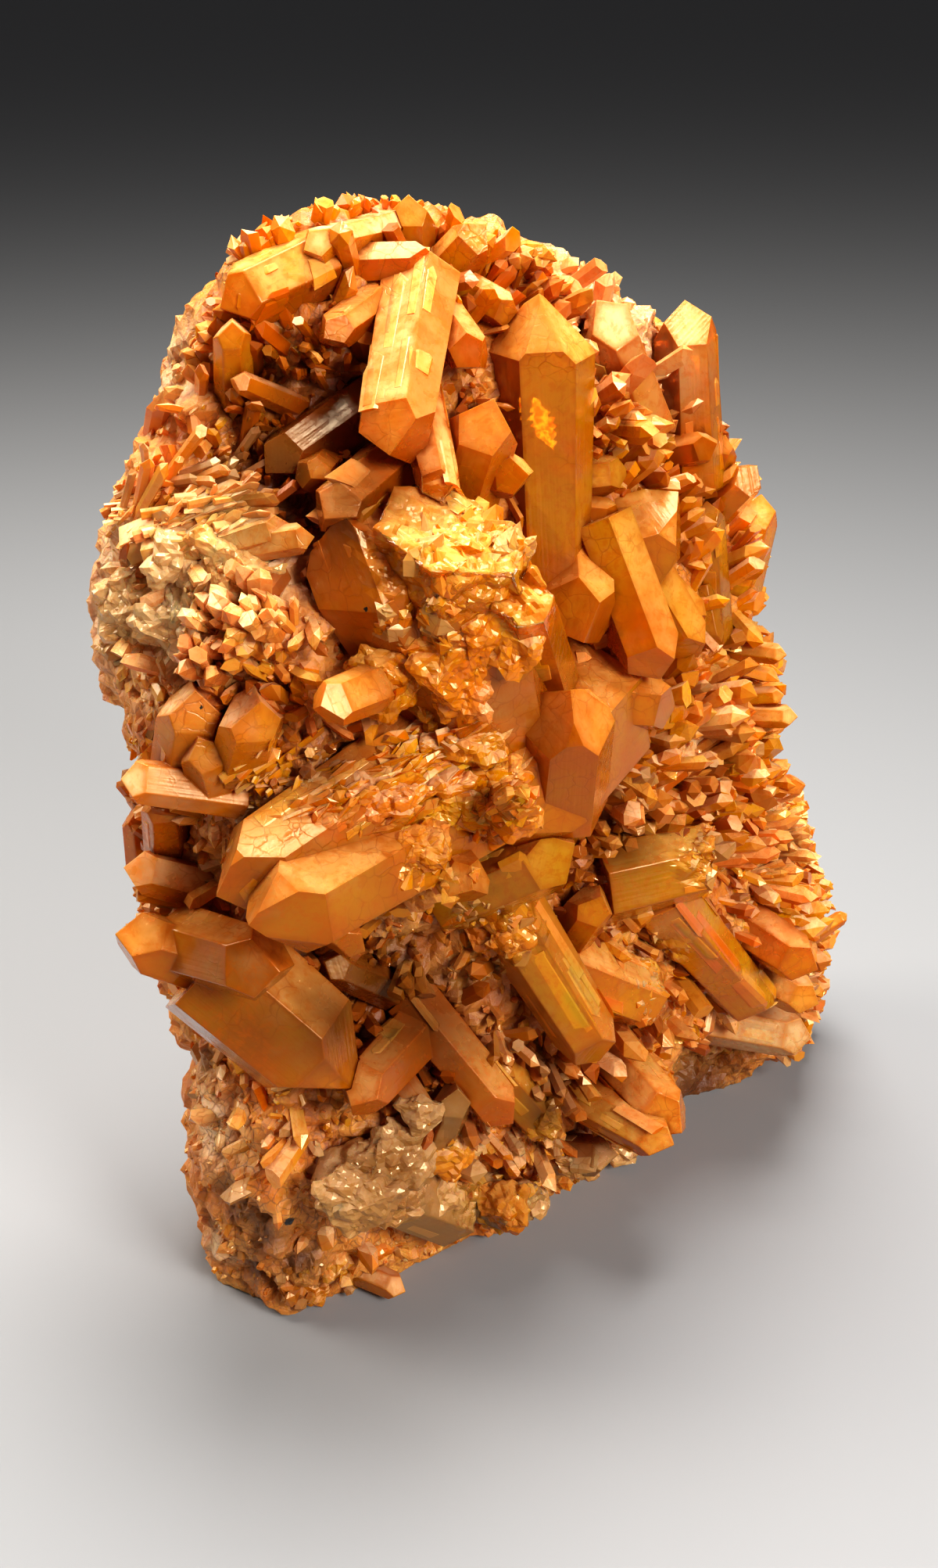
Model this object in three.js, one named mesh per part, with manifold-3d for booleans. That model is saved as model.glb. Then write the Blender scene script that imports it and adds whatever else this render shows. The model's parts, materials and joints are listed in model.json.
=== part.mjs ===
// Tangerine quartz on matrix: a slab of quartz matrix that stands on its cut edge, grown over with
// iron-stained quartz crystals. Millimetres, +Z up, the origin at the bottom, under the middle of the
// whole specimen. The matrix is one solid, with a socket for every crystal that grows out of it.
// Crystals that grew into each other are one solid. A crystal's place is read off one photograph: its
// root and its tip are pixels [across, down] of that picture, put back into space through the picture's
// own camera. Every other size is a real one.
import * as THREE from 'three';
import { ConvexGeometry } from 'three/addons/geometries/ConvexGeometry.js';
import { ImprovedNoise } from 'three/addons/math/ImprovedNoise.js';
import { mergeVertices } from 'three/addons/utils/BufferGeometryUtils.js';
import Module from 'manifold-3d';

const wasm = await Module();
wasm.setup();

// The picture's camera looks along +Y and down, and aims at a point above the slab's own origin.
const PICTURE = { width: 1200, height: 2005, fieldOfView: 44, elevation: 25, distance: 560, aimHeight: 140 };

// The middle of the whole specimen, measured from the slab's origin.
const MIDDLE = { x: 13.8, y: 3.9 };

// The slab runs from the near left to the far right. `left` and `right` are the ends of a section at
// height z, measured along the slab, and `back` and `front` are its faces, measured across it.
const SLAB_YAW = 40;
const SECTION_POWER = 3;
const SECTIONS = [
  { z: 0, left: -86, right: 143, back: -52, front: 24 },
  { z: 15, left: -86, right: 150, back: -56, front: 32 },
  { z: 40, left: -92, right: 147, back: -56, front: 39 },
  { z: 75, left: -82, right: 140, back: -54, front: 43 },
  { z: 100, left: -90, right: 128, back: -52, front: 44 },
  { z: 120, left: -97, right: 114, back: -49, front: 45 },
  { z: 165, left: -101, right: 94, back: -48, front: 46 },
  { z: 200, left: -106, right: 93, back: -47, front: 44 },
  { z: 222, left: -108, right: 81, back: -45, front: 42 },
  { z: 240, left: -99, right: 73, back: -42, front: 39 },
  { z: 262, left: -86, right: 60, back: -36, front: 33 },
  { z: 280, left: -82, right: 42, back: -29, front: 26 },
  { z: 294, left: -74, right: 10, back: -18, front: 18 },
  { z: 302, left: -56, right: -8, back: -9, front: 9 },
];
const LEVELS = 18;
const ROUND_STEPS = 28;
const CAP_RISE = 2;
const LUMPS = { size: 34, depth: 7, shift: 0 };
const GRAINS = { size: 13, depth: 2.6, shift: 40 };

// Hollows and swellings of the matrix, each under a pixel of the picture. Swellings have a negative depth.
const HOLLOWS = [
  { pixel: [400, 550], radius: 26, depth: 18 },
  { pixel: [480, 1275], radius: 26, depth: 22 },
  { pixel: [885, 1400], radius: 30, depth: 34 },
  { pixel: [325, 1470], radius: 19, depth: -12 },
  { pixel: [325, 1620], radius: 18, depth: -10 },
];

// The faces of a quartz point lean this many degrees from the crystal's axis, and the prism narrows
// towards the point by PRISM_TAPER degrees. Crystals thinner than SMALL_CRYSTAL only have the three
// large faces of a point.
const POINT_ANGLE = 38.2;
const PRISM_TAPER = 1.4;
const SMALL_CRYSTAL = 9.5;

// How uneven the faces are, as parts of the radius: each range is its least and its spread.
const FACE_REACH = { least: 0.9, spread: 0.2 };
const LARGE_FACE_SET_BACK = { least: -0.2, spread: 0.35 };
const SMALL_FACE_SET_BACK = { least: 0.1, spread: 0.3 };
const SNAP_SET_BACK = 0.4;

// A crystal's foot is sunk into the matrix, in a socket that is wider by the gap.
const SINK = { least: 2.5, perRadius: 0.55 };
const SOCKET_GAP = 0.35;

// Two crystals are grown together where they share more than this part of the smaller one. Where they
// share less, they only met, and the smaller one ends at the larger one's face.
const GROWN_TOGETHER = 0.12;

// Points closer than this are the same corner, and planes this close to parallel have none.
const SAME_CORNER = 0.05;
const ON_PLANE = 1e-4;
const PARALLEL = 1e-6;
const WELD = 1e-3;

const FINISHES = {
  orange: { color: 0xd9761c, roughness: 0.3 },
  amber: { color: 0xe08a1e, roughness: 0.2 },
  rose: { color: 0xd59a72, roughness: 0.4 },
  milky: { color: 0xe6cdb0, roughness: 0.4 },
  olive: { color: 0x8a6a2a, roughness: 0.3 },
  matrix: { color: 0xc98f5e, roughness: 0.85 },
};

// Each crystal's tip stands `out` millimetres in front of the matrix behind it, towards the camera, or
// in front of the root's depth where the tip has no matrix behind it. `rootOut` does the same for a
// root that stands on other crystals. `radius` is from the axis to the prism's faces, `wide` stretches
// it sideways, `roll` turns it round its axis, `taper` takes the place of PRISM_TAPER, and `broken` is
// the slant of a snapped end in degrees.
const CRYSTALS = [
  // The upper right.
  { name: 'tall_centre_crystal', finish: 'amber',
    root: [698, 695], tip: [690, 366], out: 24, radius: 10.2, roll: 5, taper: -1.8 },
  { name: 'right_top_crystal', finish: 'amber',
    root: [884, 590], tip: [876, 387], out: 14, radius: 8.2, roll: 12 },
  { name: 'upper_blade', finish: 'orange',
    root: [531, 395], tip: [500, 588], out: 30, radius: 9.3, roll: 28 },
  { name: 'pale_blade', finish: 'rose', root: [532, 490], tip: [566, 645], out: 24, radius: 4.8, roll: 10 },
  { name: 'shoulder_crystal', finish: 'orange',
    root: [585, 650], tip: [632, 510], out: 22, radius: 7.6, roll: 0 },
  { name: 'shoulder_side_crystal', finish: 'amber',
    root: [600, 605], tip: [678, 608], out: 24, radius: 5, roll: 10 },
  { name: 'small_right_pointer', finish: 'orange',
    root: [735, 612], tip: [803, 604], out: 14, radius: 4.5, roll: 0 },
  { name: 'flat_blade', finish: 'rose',
    root: [712, 655], tip: [794, 664], out: 15, radius: 3.4, wide: 1.5, roll: 10 },
  { name: 'pale_twin', finish: 'rose', root: [775, 745], tip: [873, 618], out: 24, radius: 11, roll: 28 },
  { name: 'long_blade', finish: 'orange',
    root: [778, 695], tip: [843, 867], rootOut: 15, out: 32, radius: 8, roll: 12, taper: 0 },
  { name: 'long_blade_neighbour', finish: 'orange',
    root: [815, 715], tip: [893, 842], out: 20, radius: 6.6, roll: 20 },
  { name: 'dusty_blade', finish: 'rose', root: [838, 735], tip: [899, 794], out: 14, radius: 4, roll: 25 },
  { name: 'pocket_tip', finish: 'orange',
    root: [898, 768], tip: [912, 832], out: 10, radius: 3.4, roll: 0 },
  { name: 'blunt_centre_crystal', finish: 'orange',
    root: [738, 700], tip: [746, 822], out: 24, radius: 9, roll: 30 },
  { name: 'level_crystal', finish: 'rose',
    root: [735, 888], tip: [862, 899], rootOut: 8, out: 26, radius: 8.2, roll: 18 },
  { name: 'squat_centre_crystal', finish: 'orange',
    root: [716, 1005], tip: [730, 876], rootOut: 22, out: 46, radius: 10, roll: 14 },
  { name: 'clear_upright', finish: 'olive',
    root: [912, 795], tip: [905, 640], out: 9, radius: 4.4, roll: 5 },
  { name: 'rim_stub_2', finish: 'orange',
    root: [860, 580], tip: [918, 568], out: 10, radius: 3.8, roll: 15 },
  { name: 'rim_stub_3', finish: 'orange', root: [912, 612], tip: [928, 556], out: 8, radius: 4.2, roll: 0 },
  { name: 'rim_stub_4', finish: 'orange',
    root: [920, 645], tip: [968, 598], out: 8, radius: 5.2, roll: 20 },
  { name: 'rim_crystal', finish: 'orange',
    root: [945, 735], tip: [972, 632], out: 8, radius: 6.6, roll: 10 },
  { name: 'ridged_crystal', finish: 'orange',
    root: [812, 520], tip: [762, 388], out: 12, radius: 8.2, roll: 30 },
  { name: 'edge_spike_1', finish: 'rose', root: [940, 829], tip: [1007, 838], out: 10, radius: 3, roll: 0 },
  { name: 'edge_spike_2', finish: 'rose',
    root: [938, 893], tip: [1003, 888], out: 10, radius: 2.7, roll: 10 },
  { name: 'edge_spike_3', finish: 'rose',
    root: [936, 914], tip: [1021, 917], out: 12, radius: 3.2, roll: 0 },
  { name: 'edge_spike_4', finish: 'orange',
    root: [950, 970], tip: [994, 948], out: 10, radius: 3.6, roll: 0 },
  { name: 'edge_spike_5', finish: 'orange',
    root: [980, 1008], tip: [1030, 1003], out: 8, radius: 3.4, roll: 15 },
  // The lower right.
  { name: 'lower_right_pointer', finish: 'orange',
    root: [845, 1150], tip: [968, 1290], out: 26, radius: 8.6, roll: 22 },
  { name: 'coated_crystal', finish: 'amber',
    root: [800, 1125], tip: [917, 1098], out: 26, radius: 10, roll: 20, broken: 14 },
  { name: 'banded_crystal', finish: 'orange',
    root: [730, 1240], tip: [860, 1290], out: 26, radius: 9.6, roll: 15 },
  { name: 'clear_pointer', finish: 'amber',
    root: [640, 1150], tip: [769, 1354], out: 36, radius: 9.2, roll: 10 },
  { name: 'dark_pointer', finish: 'orange',
    root: [540, 1295], tip: [658, 1436], out: 26, radius: 6.7, roll: 25 },
  { name: 'low_pointer_1', finish: 'amber',
    root: [650, 1385], tip: [709, 1452], out: 22, radius: 5.8, roll: 20 },
  { name: 'low_pointer_2', finish: 'orange',
    root: [785, 1350], tip: [873, 1448], out: 24, radius: 7.8, roll: 15 },
  { name: 'low_pointer_3', finish: 'orange',
    root: [735, 1395], tip: [860, 1466], out: 22, radius: 6.2, roll: 10 },
  { name: 'foot_crystal_1', finish: 'orange',
    root: [960, 1185], tip: [1044, 1240], out: 10, radius: 6.8, roll: 20 },
  { name: 'foot_crystal_2', finish: 'rose',
    root: [970, 1245], tip: [1049, 1286], out: 8, radius: 6.2, roll: 10 },
  { name: 'foot_lying_crystal', finish: 'rose',
    root: [900, 1300], tip: [1035, 1326], out: 6, radius: 7.6, roll: 10 },
  { name: 'foot_spike', finish: 'orange',
    root: [1012, 1215], tip: [1084, 1168], out: 2, radius: 2.4, roll: 0 },
  { name: 'under_bundle_crystal', finish: 'amber',
    root: [600, 1135], tip: [737, 1082], out: 38, radius: 8.6, roll: 18 },
  { name: 'yellow_stub', finish: 'olive',
    root: [708, 1078], tip: [702, 992], out: 26, radius: 5.6, roll: 0 },
  { name: 'pale_stub', finish: 'rose', root: [728, 1200], tip: [768, 1145], out: 20, radius: 6, roll: 20 },
  { name: 'glassy_foot_end', finish: 'milky',
    root: [715, 1475], tip: [790, 1480], out: 12, radius: 5.4, roll: 0 },
  // The bundle in the middle.
  { name: 'upper_main_crystal', finish: 'orange',
    root: [575, 945], tip: [266, 1154], out: 42, radius: 11.2, roll: 30 },
  { name: 'lower_main_crystal', finish: 'orange',
    root: [575, 1040], tip: [308, 1194], out: 48, radius: 12, roll: 27 },
  { name: 'bundle_core', finish: 'orange',
    root: [705, 925], tip: [575, 1075], out: 26, radius: 20, roll: 10 },
  { name: 'small_round_tip', finish: 'orange',
    root: [395, 1165], tip: [470, 1216], out: 26, radius: 4.8, roll: 15 },
  { name: 'broken_top_crystal', finish: 'amber',
    root: [630, 960], tip: [578, 655], out: 36, radius: 15.5, roll: 12, broken: 24 },
  { name: 'stepped_side_crystal', finish: 'orange',
    root: [705, 895], tip: [668, 760], out: 52, radius: 7, roll: 0, broken: 12 },
  { name: 'great_orange_crystal', finish: 'orange',
    root: [565, 845], tip: [425, 636], out: 26, radius: 17, roll: 10 },
  { name: 'glassy_tongue', finish: 'milky',
    root: [545, 850], tip: [412, 903], out: 30, radius: 4.4, wide: 1.3, roll: 0 },
  { name: 'bundle_side_1', finish: 'orange',
    root: [610, 1060], tip: [668, 1018], out: 50, radius: 5.2, roll: 10 },
  { name: 'bundle_side_2', finish: 'amber',
    root: [560, 1085], tip: [606, 1140], out: 44, radius: 6, roll: 20 },
  // The upper left, round the hollow.
  { name: 'hollow_upright', finish: 'rose',
    root: [301, 495], tip: [297, 412], out: 12, radius: 3.9, roll: 0 },
  { name: 'hollow_blade', finish: 'rose',
    root: [380, 520], tip: [298, 484], out: 14, radius: 2.6, roll: 10 },
  { name: 'dark_hollow_crystal', finish: 'olive',
    root: [446, 530], tip: [338, 606], out: 8, radius: 6.4, roll: 20 },
  { name: 'facing_stub', finish: 'rose', root: [420, 585], tip: [398, 612], out: 20, radius: 4.2, roll: 0 },
  { name: 'slanting_crystal', finish: 'orange',
    root: [510, 582], tip: [416, 664], out: 22, radius: 6.2, roll: 15 },
  { name: 'top_left_crystal', finish: 'orange',
    root: [385, 345], tip: [280, 394], out: 10, radius: 6.8, roll: 10 },
  { name: 'top_ridge_crystal', finish: 'rose',
    root: [485, 296], tip: [388, 318], out: 10, radius: 4.4, roll: 20 },
  { name: 'top_right_pointer', finish: 'rose',
    root: [480, 338], tip: [564, 334], out: 14, radius: 4.8, roll: 15 },
  { name: 'top_small_crystal_1', finish: 'orange',
    root: [470, 395], tip: [416, 434], out: 12, radius: 4.4, roll: 0 },
  { name: 'top_yellow_crystal', finish: 'amber',
    root: [525, 305], tip: [524, 246], out: 6, radius: 5.4, roll: 0 },
  { name: 'top_small_crystal_2', finish: 'orange',
    root: [562, 400], tip: [614, 470], out: 18, radius: 5, roll: 10 },
  { name: 'top_small_crystal_4', finish: 'orange',
    root: [598, 372], tip: [666, 408], out: 14, radius: 4.2, roll: 10 },
  { name: 'top_small_crystal_5', finish: 'orange',
    root: [570, 345], tip: [624, 286], out: 8, radius: 4.8, roll: 0 },
  // The left end.
  { name: 'left_long_crystal_1', finish: 'rose',
    root: [190, 690], tip: [330, 625], out: 8, radius: 4.4, roll: 15 },
  { name: 'left_long_crystal_2', finish: 'rose',
    root: [215, 705], tip: [372, 668], out: 9, radius: 4, roll: 10 },
  { name: 'left_small_pointer', finish: 'rose',
    root: [325, 698], tip: [404, 686], out: 14, radius: 3.2, roll: 0 },
  { name: 'left_round_crystal_1', finish: 'rose',
    root: [240, 950], tip: [248, 884], out: 8, radius: 7, roll: 10 },
  { name: 'left_round_crystal_2', finish: 'rose',
    root: [312, 958], tip: [328, 896], out: 13, radius: 6.8, roll: 20 },
  { name: 'left_round_crystal_3', finish: 'rose',
    root: [270, 1000], tip: [252, 942], out: 10, radius: 5.4, roll: 10 },
  { name: 'left_flat_crystal', finish: 'rose',
    root: [288, 1014], tip: [153, 997], out: 12, radius: 3.9, wide: 1.4, roll: 10 },
  { name: 'left_upright_1', finish: 'orange',
    root: [214, 1085], tip: [207, 1018], out: 8, radius: 5.4, roll: 0 },
  { name: 'left_upright_2', finish: 'orange',
    root: [182, 1085], tip: [176, 1036], out: 6, radius: 4, roll: 10 },
  { name: 'left_ledge_crystal', finish: 'rose',
    root: [245, 1130], tip: [158, 1108], out: 8, radius: 5.2, roll: 10 },
  // The lower left.
  { name: 'pale_left_pointer', finish: 'rose',
    root: [268, 1228], tip: [151, 1192], rootOut: 6, out: 20, radius: 7.6, roll: 20 },
  { name: 'left_block_crystal', finish: 'orange',
    root: [258, 1210], tip: [359, 1240], rootOut: 12, out: 40, radius: 8.6, roll: 20 },
  { name: 'great_amber_crystal', finish: 'amber',
    root: [305, 1265], tip: [472, 1408], out: 20, radius: 15, roll: 22 },
  { name: 'shadow_crystal', finish: 'olive',
    root: [500, 1266], tip: [412, 1230], out: 12, radius: 5, roll: 0 },
  { name: 'hidden_pointer', finish: 'orange',
    root: [528, 1322], tip: [446, 1412], out: 26, radius: 6.8, roll: 20 },
  { name: 'small_low_crystal', finish: 'rose',
    root: [512, 1385], tip: [547, 1436], out: 18, radius: 4, roll: 0 },
  { name: 'clear_low_crystal', finish: 'milky',
    root: [558, 1470], tip: [588, 1392], out: 18, radius: 5.2, roll: 20 },
  { name: 'milky_chunk', finish: 'milky',
    root: [556, 1535], tip: [430, 1492], out: 14, radius: 9.6, roll: 10, broken: 16 },
  { name: 'yellow_chunk', finish: 'milky',
    root: [612, 1525], tip: [684, 1548], out: 12, radius: 7, roll: 10, broken: 16 },
  { name: 'foot_tip', finish: 'rose', root: [470, 1630], tip: [520, 1652], out: 8, radius: 3.8, roll: 0 },
];

const radians = THREE.MathUtils.degToRad;
const up = new THREE.Vector3(0, 0, 1);
const within = ({ least, spread }, share) => least + spread * share;

const camera = (() => {
  const tilt = radians(PICTURE.elevation);
  const forward = new THREE.Vector3(0, Math.cos(tilt), -Math.sin(tilt));
  const rise = new THREE.Vector3(0, Math.sin(tilt), Math.cos(tilt));
  const right = new THREE.Vector3(1, 0, 0);
  const eye = new THREE.Vector3(0, 0, PICTURE.aimHeight).addScaledVector(forward, -PICTURE.distance);
  const perPixel = (2 * Math.tan(radians(PICTURE.fieldOfView / 2))) / PICTURE.height;
  return { forward, rise, right, eye, perPixel };
})();

const slab = {
  along: new THREE.Vector3(Math.cos(radians(SLAB_YAW)), Math.sin(radians(SLAB_YAW)), 0),
  across: new THREE.Vector3(Math.sin(radians(SLAB_YAW)), -Math.cos(radians(SLAB_YAW)), 0),
};

// The way from the camera to what a pixel shows, per millimetre of depth.
function throughPixel([u, v]) {
  return camera.forward
    .clone()
    .addScaledVector(camera.right, (u - PICTURE.width / 2) * camera.perPixel)
    .addScaledVector(camera.rise, (PICTURE.height / 2 - v) * camera.perPixel);
}

const atDepth = (pixel, depth) => camera.eye.clone().addScaledVector(throughPixel(pixel), depth);

const depthOf = (point) => point.clone().sub(camera.eye).dot(camera.forward);

// Repeatable random numbers from 0 to 1, a different row for each name.
function randomFor(name) {
  let state = [...name].reduce((sum, letter) => (sum * 31 + letter.charCodeAt(0)) | 0, 7);
  return () => {
    state = (state + 0x6d2b79f5) | 0;
    let mixed = Math.imul(state ^ (state >>> 15), 1 | state);
    mixed = (mixed + Math.imul(mixed ^ (mixed >>> 7), 61 | mixed)) ^ mixed;
    return ((mixed ^ (mixed >>> 14)) >>> 0) / 2 ** 32;
  };
}

// The slab's section at a height, between the listed ones.
function sectionAt(z) {
  const after = Math.max(1, SECTIONS.findIndex((section) => section.z >= z));
  const [low, high] = [SECTIONS[after - 1], SECTIONS[after]];
  const share = (z - low.z) / (high.z - low.z);
  const mix = (side) => THREE.MathUtils.lerp(low[side], high[side], share);
  const [left, right, back, front] = ['left', 'right', 'back', 'front'].map(mix);
  const centre = slab.along
    .clone()
    .multiplyScalar((left + right) / 2)
    .addScaledVector(slab.across, (back + front) / 2)
    .setZ(z);
  return { centre, halfLength: (right - left) / 2, halfWidth: (front - back) / 2 };
}

// The slab's skin: a ring of points at each level, pushed in and out by noise.
function slabRings() {
  const noise = new ImprovedNoise();
  const noiseAt = (point, size, shift) => noise.noise(point.x / size, point.y / size, point.z / size + shift);
  const rings = [];
  for (let level = 0; level <= LEVELS; level++) {
    const section = sectionAt((SECTIONS.at(-1).z * level) / LEVELS);
    const ring = [];
    for (let step = 0; step < ROUND_STEPS; step++) {
      const turn = (2 * Math.PI * step) / ROUND_STEPS;
      const [along, across] = [Math.cos(turn), Math.sin(turn)];
      const squareness =
        Math.abs(along / section.halfLength) ** SECTION_POWER +
        Math.abs(across / section.halfWidth) ** SECTION_POWER;
      const outward = slab.along.clone().multiplyScalar(along).addScaledVector(slab.across, across);
      const point = section.centre.clone().addScaledVector(outward, squareness ** (-1 / SECTION_POWER));
      const lump = LUMPS.depth * noiseAt(point, LUMPS.size, LUMPS.shift);
      const grain = GRAINS.depth * noiseAt(point, GRAINS.size, GRAINS.shift);
      ring.push(point.addScaledVector(outward, lump + grain));
    }
    rings.push(ring);
  }
  return rings;
}

// A closed skin over the rings, from a flat base to a low cap.
function skinOver(rings) {
  const middleOf = (ring) =>
    ring.reduce((sum, point) => sum.addScaledVector(point, 1 / ring.length), new THREE.Vector3());
  const top = middleOf(rings.at(-1)).addScaledVector(up, CAP_RISE);
  const points = [...rings.flat(), middleOf(rings[0]), top];
  const base = points.length - 2;
  const cap = points.length - 1;
  const faces = [];
  for (let step = 0; step < ROUND_STEPS; step++) {
    const next = (step + 1) % ROUND_STEPS;
    faces.push([base, step, next]);
    for (let level = 0; level < LEVELS; level++) {
      const [low, high] = [level * ROUND_STEPS, (level + 1) * ROUND_STEPS];
      faces.push([low + step, high + next, low + next], [low + step, high + step, high + next]);
    }
    faces.push([cap, LEVELS * ROUND_STEPS + next, LEVELS * ROUND_STEPS + step]);
  }
  return new THREE.BufferGeometry().setFromPoints(points).setIndex(faces.flat());
}

// What a pixel of the picture sees of a shape, or undefined.
function seenAt(pixel, shape) {
  const ray = new THREE.Raycaster(camera.eye, throughPixel(pixel).normalize());
  return ray.intersectObject(new THREE.Mesh(shape))[0]?.point;
}

// Pushes the skin level with the floor, away from the camera, under each hollow's pixel.
function hollowOut(rings) {
  const smooth = skinOver(rings);
  for (const hollow of HOLLOWS) {
    const centre = seenAt(hollow.pixel, smooth);
    const inward = throughPixel(hollow.pixel).setZ(0).normalize();
    for (const point of rings.flat()) {
      const share = Math.exp(-((point.distanceTo(centre) / hollow.radius) ** 2));
      point.addScaledVector(inward, hollow.depth * share);
    }
  }
  return rings;
}

// A closed shape as a solid.
function solidOf(shape) {
  const bare = new THREE.BufferGeometry().setAttribute('position', shape.getAttribute('position').clone());
  if (shape.index) bare.setIndex(shape.index.clone());
  const merged = mergeVertices(bare, WELD);
  const mesh = { numProp: 3, vertProperties: merged.attributes.position.array };
  return new wasm.Manifold(new wasm.Mesh({ ...mesh, triVerts: new Uint32Array(merged.index.array) }));
}

function shapeOf(solid) {
  const mesh = solid.getMesh();
  const points = [];
  for (let i = 0; i < mesh.numVert; i++)
    points.push(new THREE.Vector3().fromArray(mesh.vertProperties, i * mesh.numProp));
  const shape = new THREE.BufferGeometry().setFromPoints(points).setIndex([...mesh.triVerts]);
  shape.computeVertexNormals();
  return shape;
}

// The corners of the space inside a set of planes: every point where three planes meet and no other
// one cuts it off.
function cornersOf(planes) {
  const corners = [];
  const tryCorner = (a, b, c) => {
    const across = b.normal.clone().cross(c.normal);
    const volume = a.normal.dot(across);
    if (Math.abs(volume) < PARALLEL) return;
    const corner = across
      .multiplyScalar(a.reach)
      .addScaledVector(c.normal.clone().cross(a.normal), b.reach)
      .addScaledVector(a.normal.clone().cross(b.normal), c.reach)
      .divideScalar(volume);
    const inside = planes.every((plane) => plane.normal.dot(corner) <= plane.reach + ON_PLANE);
    const known = corners.some((other) => other.distanceTo(corner) < SAME_CORNER);
    if (inside && !known) corners.push(corner);
  };
  planes.forEach((a, i) =>
    planes.slice(i + 1).forEach((b, j) => planes.slice(i + j + 2).forEach((c) => tryCorner(a, b, c))),
  );
  return corners;
}

// A quartz crystal along +Z from its root at the origin: a six-sided prism, and a point of three large
// and three small faces, or a snapped end. `grow` moves every face outwards.
function quartzPlanes(spec, grow) {
  const { name, radius, length, roll, wide = 1, taper = PRISM_TAPER, broken = 0 } = spec;
  const random = randomFor(name);
  const lean = radians(taper);
  const pointAngle = radians(POINT_ANGLE);
  const planes = [{ normal: up.clone().negate(), reach: grow }];
  for (let side = 0; side < 6; side++) {
    const turn = radians(30 + 60 * side + roll);
    const sideways = new THREE.Vector3(Math.cos(turn), Math.sin(turn), 0);
    const stretch = Math.hypot(sideways.x * wide, sideways.y);
    const reach = radius * stretch * within(FACE_REACH, random());
    const prismNormal = sideways.clone().multiplyScalar(Math.cos(lean)).setZ(Math.sin(lean));
    const middle = new THREE.Vector3(0, 0, length / 2).addScaledVector(sideways, reach);
    planes.push({ normal: prismNormal, reach: middle.dot(prismNormal) + grow });
    const large = side % 2 === 0;
    const setBack = radius * within(large ? LARGE_FACE_SET_BACK : SMALL_FACE_SET_BACK, random());
    const slope = Math.atan(Math.tan(pointAngle) * stretch);
    const pointNormal = sideways.clone().multiplyScalar(Math.cos(slope)).setZ(Math.sin(slope));
    const missing = broken || (radius < SMALL_CRYSTAL && !large);
    if (!missing) planes.push({ normal: pointNormal, reach: (length - setBack) * Math.sin(slope) + grow });
  }
  if (broken) {
    const snapNormal = new THREE.Vector3(Math.sin(radians(broken)), 0, Math.cos(radians(broken)));
    planes.push({ normal: snapNormal, reach: (length - radius * SNAP_SET_BACK) * snapNormal.z + grow });
  }
  return planes;
}

// Where a crystal stands: its root on the matrix, its tip in front of it, and its length with the sunk end.
function placeCrystal(spec, matrixShape) {
  const behindRoot = seenAt(spec.root, matrixShape);
  const behindTip = seenAt(spec.tip, matrixShape) ?? behindRoot;
  const root = atDepth(spec.root, depthOf(behindRoot) - (spec.rootOut ?? 0));
  const tip = atDepth(spec.tip, depthOf(behindTip) - spec.out);
  const axis = tip.clone().sub(root).normalize();
  const sideways = axis.clone().cross(camera.eye.clone().sub(root)).normalize();
  const start = root.clone().addScaledVector(axis, -SINK.least - SINK.perRadius * spec.radius);
  const away = axis.clone().cross(sideways);
  const place = new THREE.Matrix4().makeBasis(sideways, away, axis).setPosition(start);
  return { place, length: start.distanceTo(tip) };
}

function crystalSolid(spec, { place, length }, grow = 0) {
  const corners = cornersOf(quartzPlanes({ ...spec, length }, grow));
  return solidOf(new ConvexGeometry(corners.map((corner) => corner.applyMatrix4(place))));
}

const largestBody = (solid) =>
  solid.decompose().reduce((best, body) => (body.volume() > best.volume() ? body : best));

const joined = (solids) => solids.reduce((sum, next) => sum.add(next));

// Joins the crystals that are grown together, however long the chain of them is. The largest crystal
// comes first and names the group.
function grownTogether(crystals) {
  const shareOf = (a, b) => {
    if (!a.box.intersectsBox(b.box)) return 0;
    return a.solid.intersect(b.solid).volume() / Math.min(a.volume, b.volume);
  };
  let groups = [];
  for (const crystal of crystals) {
    const holds = (group) => group.some((other) => shareOf(other, crystal) > GROWN_TOGETHER);
    groups = [...groups.filter((group) => !holds(group)), [crystal, ...groups.filter(holds).flat()]];
  }
  return groups
    .map((group) => group.sort((a, b) => b.solid.volume() - a.solid.volume()))
    .map((group) => ({
      ...group[0],
      solid: joined(group.map((crystal) => crystal.solid)),
      socket: joined(group.map((crystal) => crystal.socket)),
    }))
    .sort((a, b) => b.solid.volume() - a.solid.volume());
}

// Ends each group of crystals at the faces of the larger ones.
function trimmed(groups) {
  return groups.map((group, i) => {
    const larger = groups.slice(0, i).map((other) => other.socket);
    const rest = larger.reduce((left, socket) => left.subtract(socket), group.solid);
    return { ...group, solid: largestBody(rest) };
  });
}

function meshOf(name, solid, finish) {
  const material = new THREE.MeshStandardMaterial({ ...FINISHES[finish], metalness: 0 });
  const mesh = new THREE.Mesh(shapeOf(solid), material);
  mesh.name = name;
  return mesh;
}

const matrixShape = skinOver(hollowOut(slabRings()));
const crystals = CRYSTALS.map((spec) => {
  const standing = placeCrystal(spec, matrixShape);
  const solid = crystalSolid(spec, standing);
  const { min, max } = solid.boundingBox();
  const box = new THREE.Box3(new THREE.Vector3(...min), new THREE.Vector3(...max));
  return { ...spec, solid, box, volume: solid.volume(), socket: crystalSolid(spec, standing, SOCKET_GAP) };
});
const groups = grownTogether(crystals);
const carved = groups.reduce((rest, group) => rest.subtract(group.socket), solidOf(matrixShape));
const matrix = largestBody(carved);

const specimen = new THREE.Group();
specimen.position.set(-MIDDLE.x, -MIDDLE.y, 0);
specimen.add(meshOf('matrix', matrix, 'matrix'));
for (const { name, finish, solid } of trimmed(groups)) specimen.add(meshOf(name, solid, finish));
export default specimen;
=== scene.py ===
"""The looks of the tangerine quartz on matrix: the rock, its crystals, the small growth between them, and the light."""

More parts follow.
